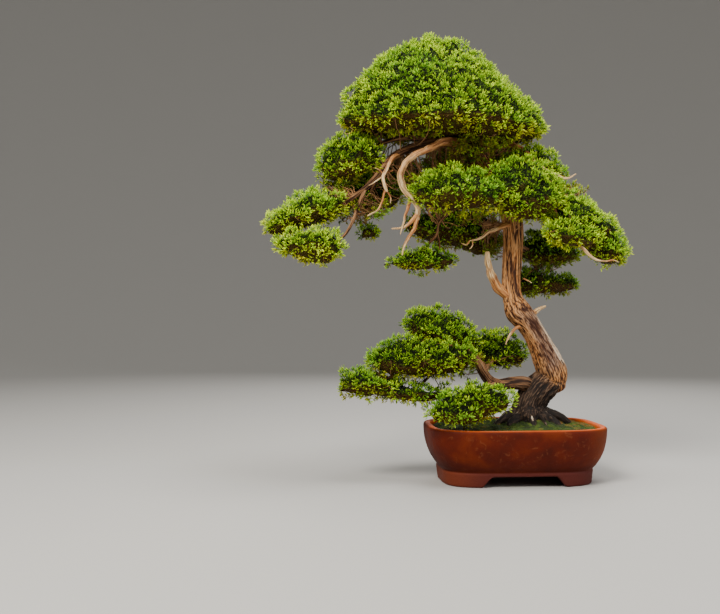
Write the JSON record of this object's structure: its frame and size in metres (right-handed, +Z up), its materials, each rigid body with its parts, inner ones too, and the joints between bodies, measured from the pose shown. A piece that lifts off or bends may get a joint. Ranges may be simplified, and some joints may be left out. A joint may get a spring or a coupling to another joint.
{
  "type": "procumbens juniper bonsai",
  "caption": "Procumbens juniper bonsai with a leaning trunk, domed crown, bare curved deadwood and low left branch, planted in an oblong clay pot on two feet.",
  "frame": {"origin": "bottom centre of the whole box, at the level the pot's feet stand on", "axes": "+Z up, +X along the pot's length to the side the trunk leans from, the show side faces -Y"},
  "size_m": [0.7394, 0.3362, 0.8794],
  "materials": {
    "clay": "matte",
    "mesh": "matte",
    "mossy_soil": "matte",
    "juniper_wood": "matte",
    "foliage": "matte"
  },
  "bodies": {
    "root": {"pot": "clay", "drainage_screen_left": "mesh", "drainage_screen_right": "mesh", "soil": "mossy_soil", "trunk_and_branches": "juniper_wood", "foliage_back_middle": "foliage", "foliage_back_right": "foliage", "foliage_back_right_low": "foliage", "foliage_crown": "foliage", "foliage_front": "foliage", "foliage_hanging": "foliage", "foliage_left_hanging": "foliage", "foliage_left_inner": "foliage", "foliage_left_low": "foliage", "foliage_left_tip": "foliage", "foliage_left_upper": "foliage", "foliage_low_apex": "foliage", "foliage_low_back": "foliage", "foliage_low_front": "foliage", "foliage_low_middle": "foliage", "foliage_low_tip": "foliage", "foliage_rear": "foliage", "foliage_rear_left": "foliage", "foliage_rear_right": "foliage", "foliage_right": "foliage", "foliage_right_upper": "foliage"}
  },
  "joints": []
}
